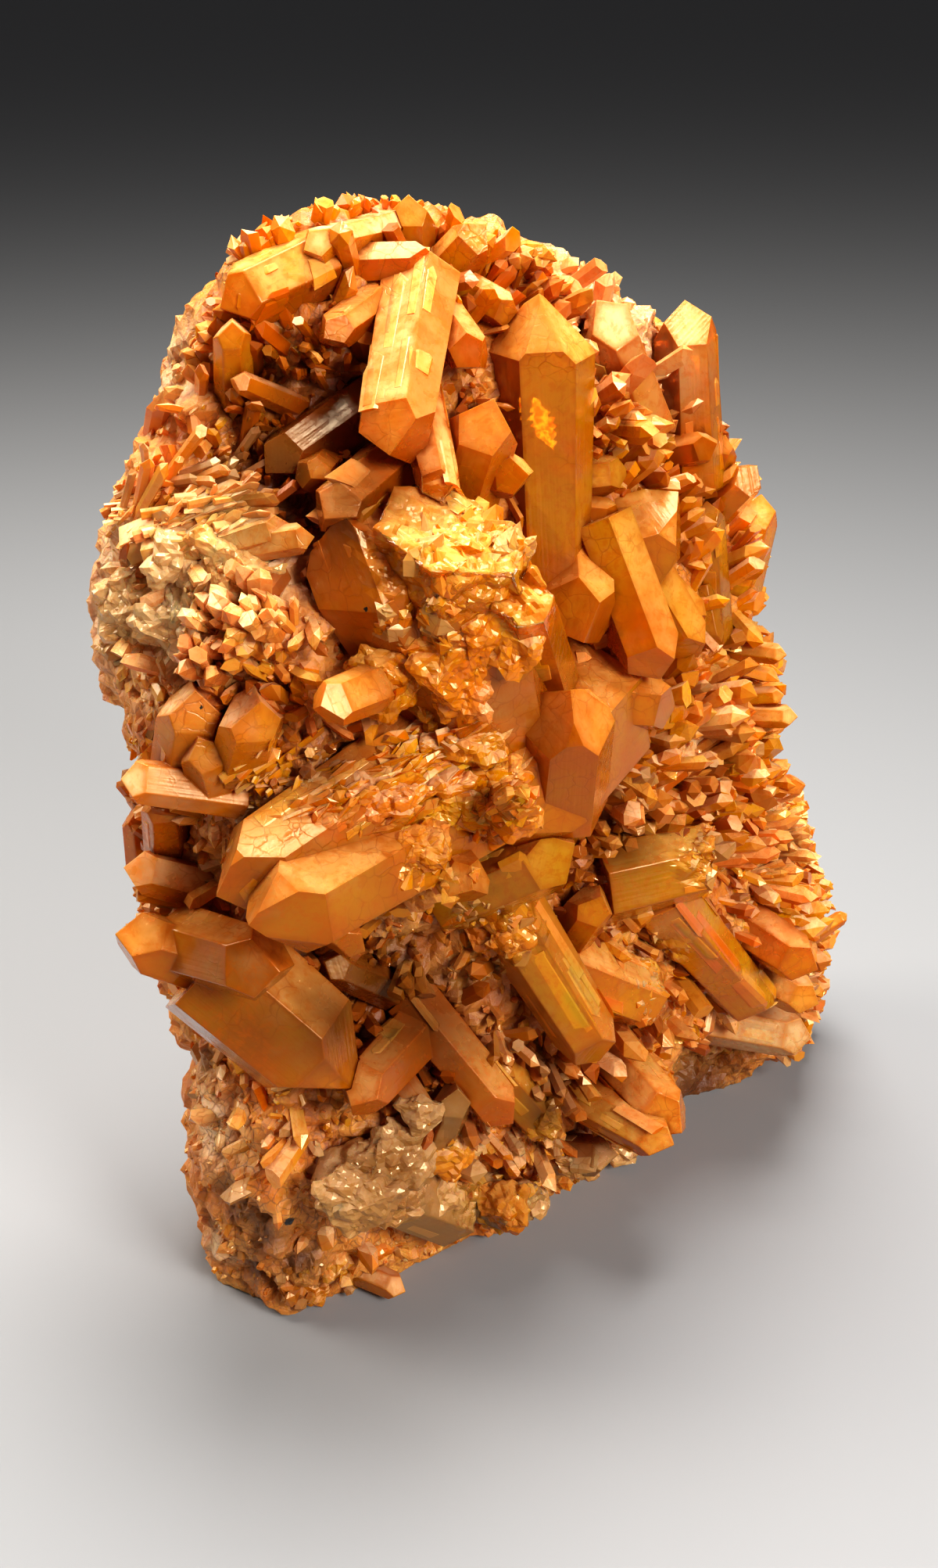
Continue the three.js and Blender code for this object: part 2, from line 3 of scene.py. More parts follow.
import json
import math
import random

import bmesh
import bpy
import numpy as np
from mathutils import Matrix, Vector, noise
from mathutils.bvhtree import BVHTree


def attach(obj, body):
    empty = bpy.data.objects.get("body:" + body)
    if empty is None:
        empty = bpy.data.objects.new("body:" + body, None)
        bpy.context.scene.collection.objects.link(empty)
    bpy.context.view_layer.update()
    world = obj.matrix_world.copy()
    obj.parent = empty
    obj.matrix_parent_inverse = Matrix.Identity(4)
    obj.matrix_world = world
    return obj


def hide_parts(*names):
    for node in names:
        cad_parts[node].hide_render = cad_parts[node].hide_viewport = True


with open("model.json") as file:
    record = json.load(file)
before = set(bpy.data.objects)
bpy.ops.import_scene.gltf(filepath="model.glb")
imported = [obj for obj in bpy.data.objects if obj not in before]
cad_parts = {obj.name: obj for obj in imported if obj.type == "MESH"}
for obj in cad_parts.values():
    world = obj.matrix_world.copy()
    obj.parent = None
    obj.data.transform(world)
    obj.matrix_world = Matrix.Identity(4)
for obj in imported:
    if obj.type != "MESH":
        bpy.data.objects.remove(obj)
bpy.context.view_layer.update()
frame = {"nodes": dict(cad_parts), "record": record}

MM = 0.001
BODY = "root"

# The photograph's camera, in the row frame.
PICTURE_WIDTH = 1200
PICTURE_HEIGHT = 2005
FIELD_OF_VIEW = math.radians(44)
ELEVATION = math.radians(25)
DISTANCE = 560 * MM
AIM = Vector((-13.8, -3.9, 140)) * MM
FORWARD = Vector((0, math.cos(ELEVATION), -math.sin(ELEVATION)))
RISE = Vector((0, math.sin(ELEVATION), math.cos(ELEVATION)))
RIGHT = Vector((1, 0, 0))
EYE = AIM - FORWARD * DISTANCE
PER_PIXEL = 2 * math.tan(FIELD_OF_VIEW / 2) / PICTURE_HEIGHT

# The slab's own directions: along it, to the far right, and across it, to the front.
SLAB_YAW = math.radians(40)
ALONG = Vector((math.cos(SLAB_YAW), math.sin(SLAB_YAW), 0))
ACROSS = Vector((math.sin(SLAB_YAW), -math.cos(SLAB_YAW), 0))
UP = Vector((0, 0, 1))


def through_pixel(pixel):
    """The way from the camera to what a pixel of the photograph shows."""
    across = RIGHT * ((pixel[0] - PICTURE_WIDTH / 2) * PER_PIXEL)
    return (FORWARD + across + RISE * ((PICTURE_HEIGHT / 2 - pixel[1]) * PER_PIXEL)).normalized()


def pixel_of(point):
    """The pixel of the photograph at which a point lies."""
    away = point - EYE
    depth = away.dot(FORWARD)
    across = PICTURE_WIDTH / 2 + away.dot(RIGHT) / depth / PER_PIXEL
    return across, PICTURE_HEIGHT / 2 - away.dot(RISE) / depth / PER_PIXEL


def tree_of(meshes):
    """A search tree over several meshes."""
    corners, faces = [], []
    for mesh in meshes:
        start = len(corners)
        corners += [v.co.copy() for v in mesh.vertices]
        faces += [[start + i for i in face.vertices] for face in mesh.polygons]
    return BVHTree.FromPolygons(corners, faces)


def add_piece(name, mesh, slot, material, *replaced):
    """A shown piece of the object that rides on the specimen's one body."""
    piece = bpy.data.objects.new(name, mesh)
    bpy.context.scene.collection.objects.link(piece)
    mesh.materials.clear()
    mesh.materials.append(material)
    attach(piece, BODY)
    if replaced:
        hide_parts(*replaced)
    return piece


# Spots of the specimen that look different: a pixel over each, and its radius in millimetres.
SPOTS = {
    "cream": [((775, 372), 20), ((800, 400), 12), ((835, 470), 14), ((118, 560), 12), ((150, 600), 14),
              ((150, 760), 20), ((210, 770), 18), ((300, 735), 15), ((270, 1440), 11), ((285, 1590), 7),
              ((960, 1335), 14), ((1010, 1320), 14), ((225, 480), 9), ((985, 1060), 12), ((885, 930), 10)],
    # Dark spots: iron stains, and painted shade in the hollows, under the bundle and under the right side.
    "stain_and_shade": [((400, 540), 16), ((360, 600), 12), ((450, 640), 12), ((480, 1265), 24), ((430, 1300), 14),
              ((540, 1290), 15), ((345, 1575), 6), ((310, 1545), 5), ((385, 1610), 6), ((330, 1620), 4),
              ((885, 1390), 20), ((420, 980), 7), ((790, 1060), 8), ((700, 1420), 8), ((265, 1350), 5)],
    "brown": [((350, 1220), 26), ((300, 1330), 16), ((330, 1590), 24), ((300, 1650), 18), ((560, 1330), 22),
              ((240, 1000), 12), ((330, 1150), 9), ((700, 1390), 18), ((780, 1080), 16), ((400, 640), 20),
              ((500, 1500), 16), ((390, 1640), 16), ((620, 1590), 14)],
    "speck": [((285, 672), 1.6), ((292, 660), 1.1), ((300, 668), 1.2), ((465, 778), 1.3), ((250, 850), 1.2),
              ((232, 862), 1.0), ((262, 905), 1.5), ((270, 918), 1.2), ((258, 915), 1.0), ((580, 868), 0.8),
              ((370, 1560), 2.2), ((352, 1590), 1.6)],
    "cracked": [((600, 1000), 24), ((530, 1010), 20), ((570, 860), 24), ((650, 1060), 16), ((400, 1040), 14),
                ((290, 1470), 24), ((330, 1600), 24), ((250, 900), 16), ((520, 1090), 14), ((390, 400), 10),
                ((400, 1680), 16), ((660, 830), 10)],
    # Gold glow spots: a painted glow where light shines through the crystals and glints in them.
    "golden_glow": [((545, 700), 13), ((600, 665), 10), ((640, 700), 12), ((450, 1130), 9), ((560, 1115), 9),
               ((690, 500), 12), ((690, 640), 9), ((660, 1120), 14), ((680, 1260), 12), ((740, 1250), 9),
               ((850, 1100), 10), ((840, 1240), 9), ((620, 1520), 10), ((790, 700), 8), ((365, 1180), 9)],
    "broken": [((560, 690), 13), ((620, 690), 14), ((660, 730), 10), ((655, 770), 7), ((830, 1225), 8),
               ((900, 1090), 7), ((640, 1190), 9), ((700, 376), 4), ((500, 1510), 14),
               ((620, 1520), 10), ((670, 1545), 8), ((590, 720), 9), ((980, 1060), 10), ((560, 760), 8)],
}


def spot_shares(points, spots):
    """How far each of many points belongs to the spots: 1 in a spot's middle, fading out round it."""
    shares = np.zeros(len(points))
    for centre, radius in spots:
        away = np.linalg.norm(points - np.array(centre), axis=1) / radius
        shares = np.maximum(shares, np.exp(-(away**2)))
    return shares


def corners_of(mesh):
    """A mesh's vertices as an array of places."""
    places = np.empty(len(mesh.vertices) * 3)
    mesh.vertices.foreach_get("co", places)
    return places.reshape(-1, 3)


def found_spots(tree):
    """The spots' places on what the photograph shows."""
    found = {}
    for kind, spots in SPOTS.items():
        places = [(tree.ray_cast(EYE, through_pixel(pixel))[0], radius * MM) for pixel, radius in spots]
        found[kind] = [(place, radius) for place, radius in places if place]
    return found


def sphere_ways(count):
    """Directions spread evenly over a sphere."""
    ways = []
    for i in range(count):
        height = 1 - (2 * i + 1) / count
        turn = i * math.pi * (3 - math.sqrt(5))
        reach = math.sqrt(1 - height * height)
        ways.append(Vector((reach * math.cos(turn), reach * math.sin(turn), height)))
    return ways


WAYS = sphere_ways(18)
SHELTER_REACH = 28 * MM


def shelter(point, normal, tree):
    """How shut in a place is: 0 in the open, 1 at the bottom of a pit."""
    start = point + normal * (1.0 * MM)
    ways = [way for way in WAYS if way.dot(normal) > 0.2]
    shut = sum(1 for way in ways if tree.ray_cast(start, way, SHELTER_REACH)[0] is not None)
    return shut / max(1, len(ways))


def paint_shelter(mesh, tree):
    """Writes how shut in each vertex is, which the materials darken as painted shade in recesses."""
    normals = [normal.vector.copy() for normal in mesh.vertex_normals]
    values = [shelter(vertex.co, normal, tree) for vertex, normal in zip(mesh.vertices, normals)]
    mesh.attributes.new("deep", "FLOAT", "POINT").data.foreach_set("value", values)


def paint(mesh, found, tint=0.5):
    """Writes how far each vertex belongs to each kind of spot."""
    for kind in SPOTS:
        attribute = mesh.attributes.new(kind, "FLOAT", "POINT")
        attribute.data.foreach_set("value", spot_shares(corners_of(mesh), found[kind]))
    if "tint" not in mesh.attributes:
        attribute = mesh.attributes.new("tint", "FLOAT", "FACE")
        attribute.data.foreach_set("value", [tint] * len(mesh.polygons))


# Materials.


class Nodes:
    """Short calls for building one material's node tree."""

    def __init__(self, name):
        self.material = bpy.data.materials.new(name)
        self.material.use_nodes = True
        self.tree = self.material.node_tree
        self.shader = self.tree.nodes["Principled BSDF"]

    def add(self, kind, values=None, **settings):
        node = self.tree.nodes.new(kind)
        for key, value in settings.items():
            setattr(node, key, value)
        for key, value in (values or {}).items():
            self.put(node.inputs[key], value)
        return node

    def put(self, socket, value):
        """Sets a socket to a number or a colour, or links it."""
        if isinstance(value, bpy.types.NodeSocket):
            self.tree.links.new(value, socket)
        elif isinstance(value, tuple) and len(value) == 3 and socket.type == "RGBA":
            socket.default_value = (*value, 1)
        else:
            socket.default_value = value

    def noise(self, scale, detail=3, coordinates=None, roughness=0.55):
        values = {"Scale": scale, "Detail": detail, "Roughness": roughness}
        if coordinates is not None:
            values["Vector"] = coordinates
        return self.add("ShaderNodeTexNoise", values).outputs["Fac"]

    def cracks(self, scale, coordinates, width):
        """Thin lines between the cells of a Voronoi pattern: 1 on a line, 0 off it."""
        values = {"Vector": coordinates, "Scale": scale, "Randomness": 1.0}
        edge = self.add("ShaderNodeTexVoronoi", values, feature="DISTANCE_TO_EDGE").outputs["Distance"]
        return self.ramp(edge, 0.0, width, 1.0, 0.0)

    def ramp(self, value, low, high, start=0.0, end=1.0):
        values = {"Value": value, "From Min": low, "From Max": high, "To Min": start, "To Max": end}
        return self.add("ShaderNodeMapRange", values).outputs["Result"]

    def mix(self, share, first, second, blend="MIX"):
        node = self.add("ShaderNodeMix", data_type="RGBA", blend_type=blend)
        self.put(node.inputs[0], share)
        self.put(node.inputs[6], first)
        self.put(node.inputs[7], second)
        return node.outputs[2]

    def maths(self, operation, first, second=0.5):
        node = self.add("ShaderNodeMath", operation=operation)
        self.put(node.inputs[0], first)
        self.put(node.inputs[1], second)
        return node.outputs[0]

    def attribute(self, name):
        return self.add("ShaderNodeAttribute", attribute_name=name).outputs["Fac"]

    def place(self):
        return self.add("ShaderNodeTexCoord").outputs["Object"]

    def warped(self, coordinates, amount=0.008):
        """Coordinates pushed about, so that a pattern on them isn't regular."""
        push = self.add("ShaderNodeTexNoise", {"Vector": coordinates, "Scale": 90, "Detail": 3}).outputs["Color"]
        scaled = self.add("ShaderNodeVectorMath", operation="MULTIPLY_ADD")
        self.put(scaled.inputs[0], push)
        scaled.inputs[1].default_value = (amount, amount, amount)
        self.put(scaled.inputs[2], coordinates)
        return scaled.outputs[0]

    def facing_up(self):
        """How far a facet faces up, from -1 to 1."""
        normal = self.add("ShaderNodeNewGeometry").outputs["True Normal"]
        return self.add("ShaderNodeSeparateXYZ", {"Vector": normal}).outputs["Z"]

    def bump(self, height, strength, distance):
        values = {"Height": height, "Strength": strength, "Distance": distance}
        return self.add("ShaderNodeBump", values).outputs["Normal"]

    def shade(self, **values):
        """Sets the shader's sockets, with underscores for spaces."""
        for key, value in values.items():
            self.put(self.shader.inputs[key.replace("_", " ")], value)
        return self.material


QUARTZ_IOR = 1.544


def quartz_material(name, deep, lit, haze_and_sheen_colour, haze_and_sheen_share, transmission, roughness, glow, gloss):
    """Stained quartz: a deep colour and a lit one mixed in noisy clouds, darkened on downward facets as painted shade,
    and a pale coat on top faces that is partly satin frosting and partly painted sheen.
    """
    n = Nodes(name)
    place = n.place()
    bent = n.warped(place)
    up = n.facing_up()
    clouds = n.maths("ADD", n.noise(48, 3, place), n.maths("MULTIPLY", n.attribute("tint"), 0.5))
    body = n.mix(n.ramp(clouds, 0.55, 0.95), deep, lit)
    # Painted glow: a bright gold colour in the glow spots.
    body = n.mix(n.maths("MULTIPLY", n.attribute("golden_glow"), 0.7), body, (1.0, 0.45, 0.02))
    # Painted shade: facets that face down are darkened towards the deep colour.
    body = n.mix(n.ramp(up, 0.25, -0.5, 0.0, 0.6), body, tuple(share * 0.72 for share in deep))
    body = n.mix(n.maths("MULTIPLY", n.attribute("brown"), 0.7), body, (0.32, 0.10, 0.010))
    patches = n.ramp(n.noise(130, 3, place), 0.36, 0.6, 0.6, 1.0)
    # Pale coat on upward facets: partly satin frosting, partly painted sheen in place of the overhead light's
    # reflection.
    haze_and_sheen = n.maths("MULTIPLY", n.maths("MULTIPLY", n.ramp(up, 0.15, 0.6), patches), haze_and_sheen_share)
    haze_and_sheen = n.maths("MULTIPLY", haze_and_sheen, n.ramp(n.attribute("brown"), 0.2, 0.9, 1.0, 0.4))
    colour = n.mix(haze_and_sheen, body, haze_and_sheen_colour)
    wisps = n.ramp(n.noise(22, 4, place, 0.7), 0.56, 0.72, 0.0, 0.4)
    colour = n.mix(wisps, colour, haze_and_sheen_colour)
    colour = n.mix(n.maths("MULTIPLY", n.attribute("cream"), 0.7), colour, (0.90, 0.62, 0.30))
    # Painted shade: the worn edges are darkened towards the deep colour.
    colour = n.mix(n.maths("MULTIPLY", n.attribute("edge"), 0.55), colour, tuple(share * 0.65 for share in deep))
    mottle = n.ramp(n.noise(430, 3, bent, 0.7), 0.5, 0.62, 0.0, 0.4)
    colour = n.mix(mottle, colour, tuple(share * 0.85 for share in deep))
    cracked = n.maths("MAXIMUM", n.ramp(n.noise(35, 2, place), 0.5, 0.62, 0.0, 0.7), n.attribute("cracked"))
    crackle = n.maths("MULTIPLY", n.cracks(210, bent, 0.045), cracked)
    colour = n.mix(n.maths("MULTIPLY", crackle, 0.6), colour, (0.42, 0.09, 0.004))
    # Dark spots: partly iron staining, partly painted shade in hollows and under overhangs.
    colour = n.mix(n.maths("MULTIPLY", n.attribute("stain_and_shade"), 0.85), colour, (0.16, 0.045, 0.008))
    # Darker where shut in: painted shade in recesses, with some of the iron staining of the hollows.
    colour = n.mix(n.ramp(n.attribute("deep"), 0.25, 0.9, 0.0, 0.85), colour, (0.36, 0.06, 0.001))
    speck = n.ramp(n.maths("ADD", n.attribute("speck"), n.maths("MULTIPLY", n.noise(700, 2, place), 0.9)), 0.98, 1.05)
    colour = n.mix(speck, colour, (0.02, 0.02, 0.02))
    lines = n.add("ShaderNodeMapping", {"Vector": n.add("ShaderNodeUVMap", uv_map="facet").outputs["UV"]})
    lines.inputs["Scale"].default_value = (40, 900, 1)
    striae = n.noise(1.0, 1, lines.outputs["Vector"])
    pits = n.noise(800, 1, place)
    waves = n.noise(70, 1, place)
    relief = n.maths("ADD", n.maths("MULTIPLY", striae, 0.6), n.maths("MULTIPLY", pits, 0.3))
    relief = n.maths("ADD", relief, n.maths("MULTIPLY", waves, 1.6))
    relief = n.maths("SUBTRACT", relief, n.maths("MULTIPLY", crackle, 0.4))
    rough = n.maths("ADD", n.ramp(patches, 0.6, 1.0, roughness * 0.4, roughness * 1.4),
                    n.maths("MULTIPLY", haze_and_sheen, 0.15))
    clear = n.maths("MULTIPLY", n.maths("SUBTRACT", 1.0, haze_and_sheen), transmission)
    n.shade(Base_Color=colour, Roughness=rough, IOR=QUARTZ_IOR, Transmission_Weight=clear,
            Subsurface_Weight=0.5, Subsurface_Radius=(1.0, 0.55, 0.25), Subsurface_Scale=glow,
            Specular_IOR_Level=gloss, Specular_Tint=(1.0, 0.74, 0.44),
            Normal=n.bump(relief, 0.4, 0.0004))
    return n.material


# Each finish: its deep and lit colours, the colour of its pale top coat (partly satin frosting, partly painted sheen)
# and that coat's share, how clear it is and how rough.
FINISHES = {
    "orange": ((0.92, 0.18, 0.0), (1.0, 0.41, 0.001), (0.92, 0.51, 0.18), 0.7, 0.5, 0.22),
    "amber": ((0.97, 0.23, 0.0), (1.0, 0.44, 0.002), (0.95, 0.55, 0.20), 0.55, 0.62, 0.16),
    "rose": ((0.93, 0.24, 0.001), (0.98, 0.44, 0.015), (0.94, 0.58, 0.30), 0.85, 0.35, 0.28),
    "milky": ((0.72, 0.32, 0.07), (0.90, 0.50, 0.18), (0.92, 0.62, 0.36), 0.5, 0.6, 0.18),
    "olive": ((0.64, 0.16, 0.001), (0.90, 0.34, 0.005), (0.62, 0.32, 0.10), 0.35, 0.55, 0.25),
}
SMALL_ROUGHNESS = 0.6
SMALL_CLARITY = 0.7
LARGE_GLOW = 4.5 * MM
SMALL_GLOW = 1.2 * MM
LARGE_GLOSS = 0.28
SMALL_GLOSS = 0.42
QUARTZ = {name: quartz_material(name + "_quartz", *values, LARGE_GLOW, LARGE_GLOSS)
          for name, values in FINISHES.items()}
SMALL_QUARTZ = {
    name: quartz_material("small_" + name + "_quartz", *values[:4], values[4] * SMALL_CLARITY,
                          values[5] * SMALL_ROUGHNESS, SMALL_GLOW, SMALL_GLOSS)
    for name, values in FINISHES.items()
}


def rock_material():
    """Crusty matrix: orange to brown granules, cream where it is bare, dark stains and painted shade in its pits and
    hollows.
    """
    n = Nodes("matrix_crust")
    place = n.place()
    grain = n.noise(260, 6, place, 0.65)
    warm = n.mix(n.ramp(n.noise(60, 5, place), 0.35, 0.65), (0.62, 0.17, 0.008), (0.88, 0.40, 0.07))
    pale = n.mix(n.ramp(n.noise(120, 5, place), 0.35, 0.65), (0.84, 0.50, 0.20), (0.95, 0.78, 0.50))
    colour = n.mix(n.attribute("cream"), warm, pale)
    colour = n.mix(n.ramp(grain, 0.40, 0.65, 0.0, 0.5), colour, (0.50, 0.16, 0.03))
    colour = n.mix(n.maths("MULTIPLY", n.attribute("brown"), 0.65), colour, (0.34, 0.11, 0.015))
    colour = n.mix(n.maths("MULTIPLY", n.cracks(110, place, 0.05), 0.6), colour, (0.42, 0.12, 0.02))
    fine = n.maths("MAXIMUM", n.ramp(n.noise(28, 3, place), 0.42, 0.6), n.attribute("cracked"))
    fine = n.maths("MULTIPLY", n.cracks(260, n.warped(place), 0.07), fine)
    colour = n.mix(n.maths("MULTIPLY", fine, 0.75), colour, (0.20, 0.06, 0.012))
    # Dark spots: partly iron staining, partly painted shade in hollows and under overhangs.
    colour = n.mix(n.maths("MULTIPLY", n.attribute("stain_and_shade"), 0.9), colour, (0.10, 0.03, 0.008))
    # Darker where shut in: painted shade in recesses, with some of the iron staining of the hollows.
    colour = n.mix(n.ramp(n.attribute("deep"), 0.3, 1.0, 0.0, 0.95), colour, (0.22, 0.04, 0.002))
    speck = n.ramp(n.maths("ADD", n.attribute("speck"), n.maths("MULTIPLY", grain, 0.9)), 0.98, 1.05)
    colour = n.mix(speck, colour, (0.02, 0.02, 0.02))
    n.shade(Base_Color=colour, Roughness=n.ramp(grain, 0.35, 0.65, 0.22, 0.6), Subsurface_Weight=0.4, Subsurface_Scale=0.003,
            Subsurface_Radius=(1.0, 0.4, 0.15), Normal=n.bump(grain, 0.8, 0.0012))
    return n.material


ROCK = rock_material()

# The large crystals: the CAD's own facets, with worn edges and rough breaks.

EDGE_WEAR = 0.3 * MM
FACET_STEP = 3.2 * MM
BREAK_STEP = 1.3 * MM


def facet_map(bm):
    """A flat map for each facet, its first axis along the facet's longest edge, in metres."""
    layer = bm.loops.layers.uv.new("facet")
    for face in bm.faces:
        edge = max(face.edges, key=lambda e: e.calc_length())
        along = (edge.verts[1].co - edge.verts[0].co).normalized()
        across = face.normal.cross(along)
        for loop in face.loops:
            loop[layer].uv = (loop.vert.co.dot(along), loop.vert.co.dot(across))


def split_edges(bm, step, spots=()):
    """Splits the edges, or those in some spots, until none is longer than a step."""
    for _ in range(7):
        bmesh.ops.triangulate(bm, faces=[f for f in bm.faces if len(f.verts) > 3])
        long = [e for e in bm.edges if e.calc_length() > step]
        if spots and long:
            middles = np.array([(e.verts[0].co + e.verts[1].co) / 2 for e in long])
            long = [e for e, share in zip(long, spot_shares(middles, spots)) if share > 0.2]
        if not long:
            return
        bmesh.ops.subdivide_edges(bm, edges=long, cuts=1)
    bmesh.ops.triangulate(bm, faces=[f for f in bm.faces if len(f.verts) > 3])


def shells(spot):
    """Height of a broken quartz surface at a spot in millimetres."""
    return abs(noise.noise(spot / 7)) * 5.0 + abs(noise.noise(spot / 3)) * 1.6 - 1.6


def roughen_breaks(bm, broken):
    """Shell-like relief where a crystal is broken."""
    split_edges(bm, BREAK_STEP, broken)
    bm.normal_update()
    shares = spot_shares(np.array([v.co for v in bm.verts]), broken)
    moves = []
    for vertex, share in zip(bm.verts, shares):
        if share < 0.1:
            continue
        moves.append((vertex, vertex.normal * (shells(vertex.co / MM) * min(1.0, share * 1.6) * MM)))
    for vertex, move in moves:
        vertex.co += move


def worn_facets(node):
    """A crystal's flat facets whole again, with slightly rounded edges."""
    bm = bmesh.new()
    bm.from_mesh(node.data)
    bmesh.ops.remove_doubles(bm, verts=bm.verts, dist=0.01 * MM)
    bmesh.ops.dissolve_limit(bm, angle_limit=math.radians(1), verts=bm.verts, edges=bm.edges)
    bmesh.ops.recalc_face_normals(bm, faces=bm.faces)
    sharp = [e for e in bm.edges if len(e.link_faces) == 2 and e.calc_face_angle(0) > math.radians(8)]
    made = bmesh.ops.bevel(bm, geom=sharp, offset=EDGE_WEAR, segments=2, profile=0.5, affect="EDGES", clamp_overlap=True)
    facet_map(bm)
    for face in made["faces"]:
        face.smooth = True
    return bm


def mark_edge_shade(bm):
    """Marks the corners on a crystal's worn edges, which the material darkens as painted shade."""
    layer = bm.verts.layers.float.new("edge")
    for vertex in bm.verts:
        vertex[layer] = float(any(face.smooth for face in vertex.link_faces))


SLOT_OF = {entry["node"]: entry["material_slot"] for entry in frame["record"]["subparts"]}
crystal_nodes = {name: node for name, node in sorted(frame["nodes"].items()) if name != "matrix"}
cad_tree = tree_of([node.data for node in frame["nodes"].values()])
spots = found_spots(cad_tree)
large = {}
for name, node in crystal_nodes.items():
    bm = worn_facets(node)
    split_edges(bm, FACET_STEP)
    mark_edge_shade(bm)
    roughen_breaks(bm, spots["broken"])
    mesh = bpy.data.meshes.new(name + "_facets")
    bm.to_mesh(mesh)
    bm.free()
    paint(mesh, spots, random.Random(name).uniform(0.2, 0.8))
    large[name] = add_piece(name + "_facets", mesh, SLOT_OF[name], QUARTZ[SLOT_OF[name]], name)
large_tree = tree_of([piece.data for piece in large.values()])

# The matrix: the CAD solid with a crusty skin.

ROCK_VOXEL = 1.8 * MM


def blocks(spot, size):
    """Height of a surface that is made of small tilted blocks, about a size across."""
    middle = noise.voronoi(spot / size)[1][0]
    tilt = noise.cell_vector(middle * 37.0) - Vector((0.5, 0.5, 0.5))
    return (spot / size - middle).dot(tilt) * size * 0.9 + tilt.x * size * 0.25


def crusty_rock(node):
    piece = bpy.data.objects.new("matrix_rock", node.data.copy())
    bpy.context.scene.collection.objects.link(piece)
    remesh = piece.modifiers.new("grain", "REMESH")
    remesh.mode = "VOXEL"
    remesh.voxel_size = ROCK_VOXEL
    graph = bpy.context.evaluated_depsgraph_get()
    mesh = bpy.data.meshes.new_from_object(piece.evaluated_get(graph))
    bpy.data.objects.remove(piece)
    normals = [normal.vector.copy() for normal in mesh.vertex_normals]
    for vertex, normal in zip(mesh.vertices, normals):
        spot = vertex.co / MM
        lumps = abs(noise.noise(spot / 15)) * 7.0 - 1.6 + abs(noise.noise(spot / 5)) * 2.0
        lift = min(1.0, vertex.co.z / (4 * MM))
        vertex.co += normal * ((lumps + blocks(spot, 9) * 0.5 + blocks(spot, 4) * 0.6) * MM * lift)
        vertex.co.z = max(vertex.co.z, 0.0)
    mesh.update()
    return mesh


rock_mesh = crusty_rock(frame["nodes"]["matrix"])
paint(rock_mesh, spots)
rock = add_piece("matrix_rock", rock_mesh, "matrix", ROCK, "matrix")
rock_tree = tree_of([rock_mesh])
seen_tree = tree_of([rock_mesh] + [piece.data for piece in large.values()])
for piece in (rock, *large.values()):
    paint_shelter(piece.data, seen_tree)

# Small crystals, blades and grains between the large ones.


CHUNK_CORNERS = 20
CHUNK_STEP = 1.6 * MM


